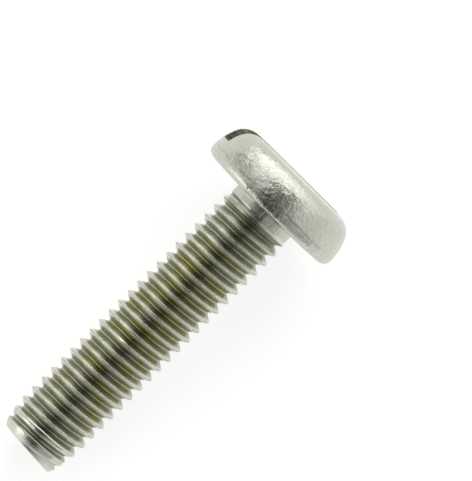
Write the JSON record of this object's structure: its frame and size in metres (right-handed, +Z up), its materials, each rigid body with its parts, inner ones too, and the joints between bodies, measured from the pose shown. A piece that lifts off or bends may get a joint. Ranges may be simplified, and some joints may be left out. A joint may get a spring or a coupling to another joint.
{
  "type": "slotted pan head machine screw",
  "caption": "Stainless steel machine screw with a slotted pan head, a short plain neck and a coarse right-hand thread down to a chamfered tip.",
  "frame": {"origin": "on the ground under the middle of the lying screw's box, at the lowest point of the head's rim and the crest near the tip", "axes": "+X along the ground from the tip to the head, the screw's axis rising about 8 degrees towards the head; +Z up; +Y completes a right-handed frame"},
  "size_m": [0.029, 0.0122, 0.0121],
  "materials": {
    "stainless_steel": "plain tumbled stainless steel, half bright, with fine dents and an olive tint in the thread"
  },
  "bodies": {
    "root": {"pan_head_screw": "stainless_steel"}
  },
  "joints": []
}
